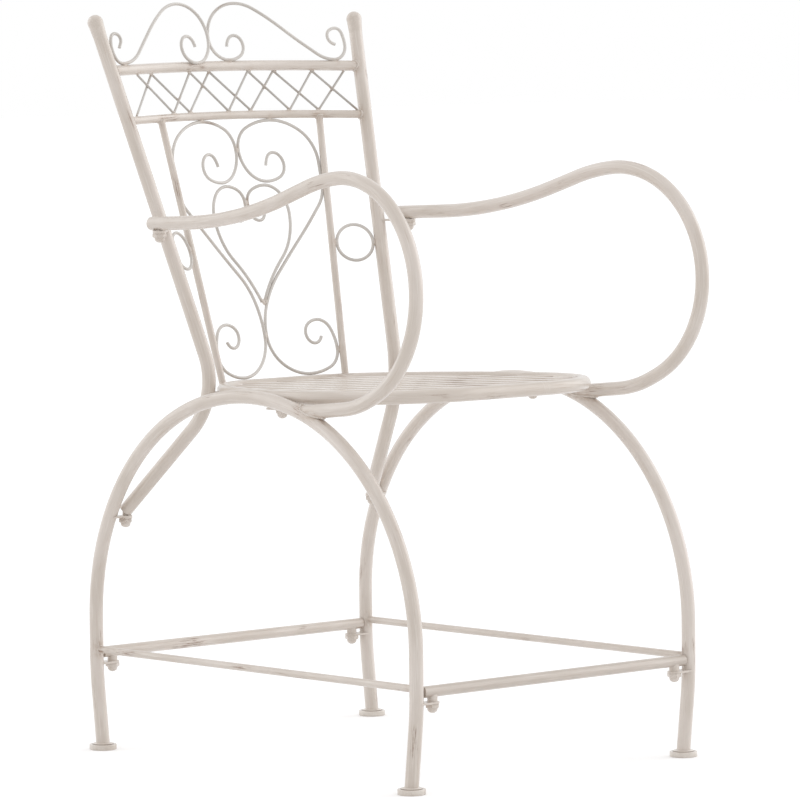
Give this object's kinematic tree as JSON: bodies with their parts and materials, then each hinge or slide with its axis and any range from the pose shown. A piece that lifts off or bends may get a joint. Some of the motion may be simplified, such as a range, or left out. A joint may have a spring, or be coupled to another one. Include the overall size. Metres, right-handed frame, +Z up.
{
  "type": "garden armchair",
  "caption": "Garden armchair of bent round tube with two leg arches, looped arms, a rounded slatted seat and a back of scrolled wire.",
  "frame": {"origin": "on the floor, in the middle of the chair's overall box", "axes": "+Z up, +X to the sitter's left, -Y the way the chair faces"},
  "size_m": [0.5172, 0.6793, 0.9815],
  "materials": {
    "tube": "worn antique cream paint",
    "scroll_wire": "worn antique cream paint",
    "seat_slats": "worn antique cream paint",
    "brackets": "worn antique cream paint",
    "feet": "worn antique cream paint",
    "fasteners": "worn antique cream paint"
  },
  "bodies": {
    "root": {"arm_cap_nuts": "fasteners", "arm_studs": "fasteners", "arm_tabs": "brackets", "arm_washers": "fasteners", "foot_collars": "feet", "front_lattice_wire": "scroll_wire", "front_left_foot": "feet", "front_right_foot": "feet", "front_stretcher": "tube", "lattice_rail": "tube", "left_arm": "tube", "left_arm_cap": "tube", "left_back_post": "tube", "left_back_scroll": "scroll_wire", "left_crest_scroll": "scroll_wire", "left_finial": "tube", "left_heart_wire": "scroll_wire", "left_leg_arch": "tube", "left_side_ring": "scroll_wire", "left_side_rod": "tube", "left_upright": "tube", "post_cap_nuts": "fasteners", "post_plugs": "brackets", "post_studs": "fasteners", "post_tabs": "brackets", "post_washers": "fasteners", "rear_lattice_wire": "scroll_wire", "rear_left_foot": "feet", "rear_right_foot": "feet", "rear_stretcher": "tube", "right_arm": "tube", "right_arm_cap": "tube", "right_back_post": "tube", "right_back_scroll": "scroll_wire", "right_crest_scroll": "scroll_wire", "right_finial": "tube", "right_heart_wire": "scroll_wire", "right_leg_arch": "tube", "right_side_ring": "scroll_wire", "right_side_rod": "tube", "right_upright": "tube", "seat_cap_nuts": "fasteners", "seat_lugs": "brackets", "seat_ring": "tube", "seat_slats_lower": "seat_slats", "seat_slats_upper": "seat_slats", "seat_sleeves": "brackets", "seat_studs": "fasteners", "seat_tabs": "brackets", "stretcher_cap_nuts": "fasteners", "stretcher_sleeves": "brackets", "stretcher_studs": "fasteners", "stretcher_tabs": "brackets", "top_rail": "tube"}
  },
  "joints": []
}
